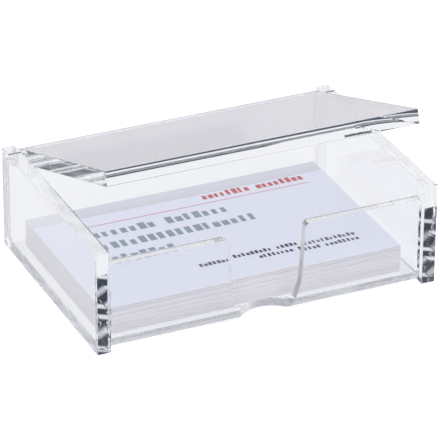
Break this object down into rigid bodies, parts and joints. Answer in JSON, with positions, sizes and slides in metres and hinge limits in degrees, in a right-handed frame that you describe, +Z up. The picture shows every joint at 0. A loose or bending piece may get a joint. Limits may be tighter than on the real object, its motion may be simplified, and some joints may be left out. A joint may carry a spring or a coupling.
{
  "type": "business card holder",
  "caption": "Clear acrylic desk box for business cards: two cheeks, a bent tray with a thumb gap between its front lips, and a lid hinged at the back on dowel pins, with a stack of cards.",
  "frame": {"origin": "middle of the underside, on the surface that the box stands on", "axes": "+X along the box's width, +Y from the thumb gap to the hinge at the back, +Z up"},
  "size_m": [0.1, 0.068, 0.0516],
  "materials": {
    "clear_acrylic": "clear cast acrylic sheet with polished edges",
    "steel": "ground steel dowel",
    "card": "matt white card",
    "printed_card": null
  },
  "bodies": {
    "box": {"left_cheek": "clear_acrylic", "right_cheek": "clear_acrylic", "tray": "clear_acrylic", "left_hinge_pin": "steel", "right_hinge_pin": "steel", "card_stack": "card", "top_card": "printed_card"},
    "lid": {"lid": "clear_acrylic"}
  },
  "joints": [
    {"name": "lid_hinge", "type": "hinge", "parent": "box", "child": "lid", "pos_m": [0, 0.0307, 0.0279], "axis": [-1, 0, 0], "range_deg": [-19.7, 74]}
  ]
}
